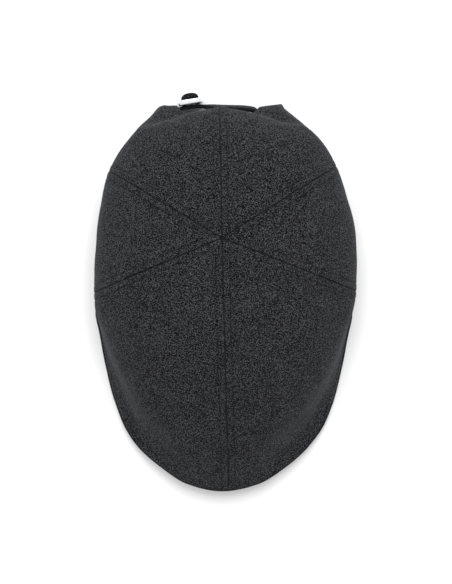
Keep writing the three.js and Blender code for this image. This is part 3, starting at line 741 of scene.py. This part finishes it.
def peak_ring(azimuth):
    """Section of the peak as (radius, height): round its rim, in along the underside and out on top."""
    turned = 360 - azimuth if azimuth > 180 else azimuth
    half_thick = PEAK_THICKNESS / 2
    slope = math.radians(PEAK_SLOPE)
    outer = float(peak_edge(turned))
    inner = min(head_radius(turned), outer - LEAST_DEPTH)
    rim = min(half_thick, (outer - inner) * MOST_RIM)
    lift = float(peak_lift(turned))

    def middle(radius):
        return lift + half_thick + (outer - half_thick - radius) * math.tan(slope)

    ring = []
    for turn in np.linspace(math.pi / 2, -math.pi / 2, RIM_POINTS):
        sunk = RIM_SEAM["depth"] * math.exp(-(turn / RIM_SEAM["reach"]) ** 2)
        reach = rim * (1 - sunk) * math.cos(turn)
        ring.append((outer - rim + reach, middle(outer - rim) + half_thick * math.sin(turn)))
    thick = half_thick / math.cos(slope)
    spread = np.linspace(outer - rim, inner, FLAT_POINTS)[1:]
    ring += [(radius, middle(radius) - thick) for radius in spread]
    ring += [(radius, middle(radius) + thick) for radius in spread[::-1]]
    return ring


def make_peak():
    rings = []
    for azimuth in np.linspace(PEAK[0][0], 360 - PEAK[0][0], PEAK_COLUMNS):
        rings.append([point_at(np.array(azimuth), radius, height) for radius, height in peak_ring(azimuth)])
    points = np.array(rings)
    piece = grid_piece("stiff_peak", np.concatenate([points, points[:, :1]], axis=1))
    close_piece(piece, fill_ends=True)
    finish_piece(piece, "peak", peak_wool, PEAK_SMOOTH_TURN)


make_peak()

# Strap and its stitching

SLIDE_MIDDLE = np.array([SLIDE_PLACE["x"], SLIDE_PLACE["y"], STRAP["bottom"] + STRAP["height"] / 2])
slide_turn = math.radians(SLIDE_PLACE["azimuth"])
SLIDE_OUT = np.array([math.sin(slide_turn), math.cos(slide_turn), 0])
SLIDE_ALONG = np.array([-SLIDE_OUT[1], SLIDE_OUT[0], 0])
POINTS_BETWEEN = 40


def plan_point(azimuth, radius):
    angle = math.radians(azimuth)
    return np.array([radius * math.sin(angle), radius * math.cos(angle), 0])


def strap_along_panel(azimuth):
    """Radius of the strap's middle where it clears the inside of a back panel over its whole height."""
    heights = STRAP["bottom"] + np.arange(-1, STRAP["height"] + 2, 2)
    around = np.full(len(heights), float(azimuth))
    steps = step_at_height(around, heights)
    inside = outside(around, steps) - CLOTH * outward(around, steps)
    return np.hypot(inside[:, 0], inside[:, 1]).min() - 2 * GAP - STRAP["thickness"] / 2


def strap_places():
    """Places that the strap's middle runs through, from its right end to its left end."""
    places = [plan_point(a, strap_along_panel(a)) for a in STRAP_ON_PANEL]
    places += [plan_point(*row) for row in STRAP_FREE]
    places += [plan_point(-a, strap_along_panel(-a)) for a in STRAP_ON_PANEL[::-1]]
    return np.array(places)


def loop_places():
    """Places of the loop's middle, from the strap through a slot, over the centre bar and back."""
    rows = [(-along, out) for along, out in STRAP_LOOP] + list(STRAP_LOOP[-2::-1])
    places = np.array([SLIDE_MIDDLE + along * SLIDE_ALONG + out * SLIDE_OUT for along, out in rows])
    places[:, 2] = 0
    return places


def curve_points(places, spacing):
    """Evenly spaced points on a smooth curve through the places."""
    ends = np.concatenate([[2 * places[0] - places[1]], places, [2 * places[-1] - places[-2]]])
    fine = []
    for a, b, c, d in zip(ends, ends[1:], ends[2:], ends[3:]):
        before, here, after = (math.sqrt(np.linalg.norm(q - p)) for p, q in ((a, b), (b, c), (c, d)))
        start = ((b - a) / before - (c - a) / (before + here) + (c - b) / here) * here
        end = ((c - b) / here - (d - b) / (here + after) + (d - c) / after) * here
        share = np.linspace(0, 1, POINTS_BETWEEN, endpoint=False)[:, None]
        rest = 1 - share
        fine.append(b * rest ** 2 * (1 + 2 * share) + start * share * rest ** 2
                    + c * share ** 2 * (3 - 2 * share) - end * share ** 2 * rest)
    fine = np.concatenate(fine + [places[-1:]])
    walked = np.concatenate([[0], np.cumsum(np.linalg.norm(np.diff(fine, axis=0), axis=-1))])
    at = np.linspace(0, walked[-1], round(walked[-1] / spacing) + 1)
    return np.stack([np.interp(at, walked, fine[:, k]) for k in range(3)], axis=-1)


def flat_outward(line):
    """Sideways direction of a line in plan, to its outer side."""
    along = unit(np.gradient(line, axis=0))
    return np.stack([along[:, 1], -along[:, 0], np.zeros(len(line))], axis=-1)


STRAP_EDGE = 1.25
EDGE_POINTS = 6
FACE_POINTS = 11
STRAP_SPACING = 0.8
LOOP_SPACING = 0.35
STRAP_SMOOTH_TURN = 60

# The strap's top leans inwards, least behind the slide and most over the arch: the lean grows between the
# left pair of azimuths and fades between the right pair
STRAP_LEAN = {"most": 10, "least": 4, "left": (-9, -3), "right": (12, 17)}

# The loop's cloth is fuller where it stands out from the slide, between these distances from its middle
LOOP_FULLNESS = 0.28
LOOP_FULL_FROM = (1.2, 3.4)

# Stitches, and the groove that they draw into the strap's faces. Rounding a stitch's ends and sides
# draws it in, so it starts longer and thicker.
STITCH_INSET = 2.2
STITCH = {"length": 2.3, "pitch": 3.1, "thick": 0.42, "sunk": 0.12, "start_longer": 1.1, "start_thicker": 1.2}
STITCH_GROOVE = {"depth": 0.18, "reach": 0.6}


def band_section():
    """Section of the strap as (out, up) from its middle: flat faces and rounded folded edges."""
    half_thick, half_high = STRAP["thickness"] / 2, STRAP["height"] / 2
    flat = np.linspace(half_high, -half_high, FACE_POINTS + 4)[2:-2]
    turns = np.linspace(0, math.pi / 2, EDGE_POINTS)
    section = []
    for quarter in range(4):
        side = 1 if quarter in (0, 3) else -1
        level = 1 if quarter < 2 else -1
        for turn in turns + quarter * math.pi / 2:
            section.append((side * (half_thick - STRAP_EDGE) + STRAP_EDGE * math.cos(turn),
                            level * (half_high - STRAP_EDGE) + STRAP_EDGE * math.sin(turn)))
        if quarter == 1:
            section += [(-half_thick, up) for up in flat]
        if quarter == 3:
            section += [(half_thick, up) for up in flat[::-1]]
    return np.array(section)


def make_band(name, node, line, fullness, lean):
    """Band of folded cloth along a line in plan, drawn in along its two rows of stitches."""
    out = flat_outward(line)
    section = band_section()
    from_stitches = np.abs(section[:, 1]) - STRAP["height"] / 2 + STITCH_INSET
    groove = STITCH_GROOVE["depth"] * np.exp(-(from_stitches / STITCH_GROOVE["reach"]) ** 2)
    across = (section[:, 0] - groove * np.sign(section[:, 0])) * fullness[:, None]
    leaning = -np.tan(np.radians(lean))[:, None] * section[None, :, 1]
    points = line[:, None, :] + (across + leaning)[..., None] * out[:, None, :]
    points[..., 2] = STRAP["bottom"] + STRAP["height"] / 2 + section[:, 1]
    piece = grid_piece(name, np.concatenate([points, points[:, :1]], axis=1))
    close_piece(piece, fill_ends=True)
    finish_piece(piece, node, strap_wool, STRAP_SMOOTH_TURN)


def strap_lean(line):
    """The strap's lean, most where it stands free over the arch's middle and less behind the slide."""
    azimuth = np.degrees(np.arctan2(line[:, 0], line[:, 1]))
    free = smooth_step(azimuth, *STRAP_LEAN["left"]) * (1 - smooth_step(azimuth, *STRAP_LEAN["right"]))
    return STRAP_LEAN["least"] + (STRAP_LEAN["most"] - STRAP_LEAN["least"]) * free


def model_stitch():
    """One stitch of thread along X, drawn in at both ends."""
    nothing_selected()
    radius = STITCH["thick"] / 2 * STITCH["start_thicker"] * MM
    length = STITCH["length"] * STITCH["start_longer"] * MM
    lying = (0, math.pi / 2, 0)
    bpy.ops.mesh.primitive_cylinder_add(vertices=6, radius=radius, depth=length, rotation=lying)
    bpy.ops.object.transform_apply(location=False, rotation=True, scale=False)
    stitch = bpy.context.object
    add_and_apply(stitch, "SUBSURF", levels=1, render_levels=1)
    return stitch


def make_strap_stitches():
    """Two rows of stitches along the outer and the inner face of the strap."""
    model = model_stitch()
    line = curve_points(strap_places(), STITCH["pitch"])[2:-2]
    out = flat_outward(line)
    from_middle = STRAP["height"] / 2 - STITCH_INSET
    leaning = np.tan(np.radians(strap_lean(line))) * from_middle
    along = unit(np.gradient(line, axis=0))
    stitches = []
    for side in (1, -1):
        for level in (1, -1):
            height = STRAP["bottom"] + STRAP["height"] / 2 + level * from_middle
            for middle, face_out, run, lean in zip(line, out, along, leaning):
                place = middle + face_out * (side * (STRAP["thickness"] / 2 - STITCH["sunk"]) - level * lean)
                place = (np.array([place[0], place[1], height]) + CROWN_POINT) * MM
                axes = Matrix([-run, face_out, (0, 0, 1)]).transposed().to_4x4()
                stitch = model.copy()
                stitch.data = model.data.copy()
                bpy.context.collection.objects.link(stitch)
                stitch.data.transform(Matrix.Translation(place) @ axes)
                stitches.append(stitch)
    bpy.data.objects.remove(model)
    piece = join_pieces("strap_stitches", stitches)
    finish_piece(piece, None, black_thread)


strap_line = curve_points(strap_places(), STRAP_SPACING)
make_band("wool_strap", "strap", strap_line, np.ones(len(strap_line)), strap_lean(strap_line))
loop_line = curve_points(loop_places(), LOOP_SPACING)
loop_out = (loop_line - SLIDE_MIDDLE) @ SLIDE_OUT
loop_full = 1 + LOOP_FULLNESS * smooth_step(loop_out, *LOOP_FULL_FROM)
make_band("wool_strap_loop", "strap_loop", loop_line, loop_full, np.zeros(len(loop_line)))
make_strap_stitches()

# Slide

# How far the slide's edges are rounded, and the sharpest turn that isn't one of them
METAL_ROUNDING = 0.62
SMOOTH_TURN = 40


def cut_slide_face(piece):
    """Rounds the corners of the slide's face and opens its two slots on either side of the centre bar."""
    bar = SLIDE["bar"]
    half_wide, half_high = SLIDE["width"] / 2, SLIDE["height"] / 2

    def at_corner(x, y):
        return abs(x) > half_wide / 2

    def right_of_bar(x, y):
        return bar / 2 < x < bar * 3 / 2 and abs(y) < half_high - bar / 2

    def left_of_bar(x, y):
        return right_of_bar(-x, y)

    bpy.ops.object.mode_set(mode="EDIT")
    bpy.ops.mesh.select_all(action="SELECT")
    bpy.ops.transform.resize(value=(SLIDE["width"] * MM, SLIDE["height"] * MM, 1))
    select_vertices(piece, at_corner)
    bpy.ops.mesh.bevel(offset=SLIDE["corner"] * MM, segments=9, profile=0.5, affect="VERTICES")
    bpy.ops.mesh.select_all(action="SELECT")
    bpy.ops.mesh.inset(thickness=bar * MM, use_individual=True)
    bpy.ops.mesh.delete(type="FACE")
    select_vertices(piece, right_of_bar)
    bpy.ops.transform.translate(value=(-bar / 2 * MM, 0, 0))
    select_vertices(piece, left_of_bar)
    bpy.ops.transform.translate(value=(bar / 2 * MM, 0, 0))
    bpy.ops.object.mode_set(mode="OBJECT")


def make_slide():
    nothing_selected()
    bpy.ops.mesh.primitive_grid_add(x_subdivisions=2, y_subdivisions=1, size=1)
    piece = bpy.context.object
    piece.name = "metal_slide"
    piece.data.name = "metal_slide"
    cut_slide_face(piece)
    add_and_apply(piece, "SOLIDIFY", thickness=SLIDE["thickness"] * MM, offset=0)
    add_and_apply(piece, "BEVEL", width=METAL_ROUNDING * MM, segments=4, limit_method="ANGLE",
                  angle_limit=math.radians(SMOOTH_TURN))
    lean = math.radians(SLIDE_PLACE["lean"])
    upright = np.array([0, 0, 1])
    up = math.cos(lean) * upright - math.sin(lean) * SLIDE_OUT
    out = math.cos(lean) * SLIDE_OUT + math.sin(lean) * upright
    axes = Matrix([SLIDE_ALONG, up, out]).transposed().to_4x4()
    piece.data.transform(Matrix.Translation((SLIDE_MIDDLE + CROWN_POINT) * MM) @ axes)
    close_piece(piece)
    finish_piece(piece, "slide_buckle", slide_metal, SMOOTH_TURN)


make_slide()

# Floor, light and camera, in metres

# The floor lies just under the hem, so that the two don't share a plane
FLOOR = {"size": 6, "height": -0.0002}
PAPER = (0.9, 0.9, 0.9, 1)

# Soft lights: name, place, size and power
LIGHTS = (
    ("high_from_back", (0, 0.95, 2.1), (1.5, 1.3), 27),
    ("low_from_back", (0, 1.9, 1.5), (1.8, 1.2), 15),
)
WORLD_STRENGTH = 0.96

bpy.ops.mesh.primitive_plane_add(size=FLOOR["size"], location=(0, 0, FLOOR["height"]))
floor = bpy.context.object
floor.name = "floor"
paper = bpy.data.materials.new("paper")
paper.use_nodes = True
paper.node_tree.nodes["Principled BSDF"].inputs["Base Color"].default_value = PAPER
paper.node_tree.nodes["Principled BSDF"].inputs["Roughness"].default_value = 0.9
floor.data.materials.append(paper)


def add_area_light(name, place, size, power):
    """Light that faces the middle of the frame."""
    light = bpy.data.lights.new(name, "AREA")
    light.shape = "RECTANGLE"
    light.size, light.size_y = size
    light.energy = power
    lamp = bpy.data.objects.new(name, light)
    bpy.context.collection.objects.link(lamp)
    lamp.location = place
    lamp.rotation_euler = (-Vector(place)).to_track_quat("-Z", "Y").to_euler()


for light_values in LIGHTS:
    add_area_light(*light_values)

scene = bpy.context.scene
scene.world = bpy.data.worlds.new("studio")
scene.world.use_nodes = True
scene.world.node_tree.nodes["Background"].inputs["Color"].default_value = (1, 1, 1, 1)
scene.world.node_tree.nodes["Background"].inputs["Strength"].default_value = WORLD_STRENGTH
scene.view_settings.view_transform = "Standard"

# The camera looks straight down from two metres; one pixel of the photo is 0.715 mm at the crown's bulge
PHOTO_HEIGHT = 584
PIXEL = 0.715
CAMERA_HEIGHT = 2000
BULGE_HEIGHT = 45
CAMERA_FROM_CROWN = (2.8, -37.8)
camera_data = bpy.data.cameras.new("camera")
camera_data.lens = camera_data.sensor_width * (CAMERA_HEIGHT - BULGE_HEIGHT) / (PHOTO_HEIGHT * PIXEL)
camera_data.clip_end = 20
camera = bpy.data.objects.new("camera", camera_data)
bpy.context.collection.objects.link(camera)
camera.location = (
    (CROWN_POINT[0] + CAMERA_FROM_CROWN[0]) * MM,
    (CROWN_POINT[1] + CAMERA_FROM_CROWN[1]) * MM,
    CAMERA_HEIGHT * MM,
)
scene.camera = camera
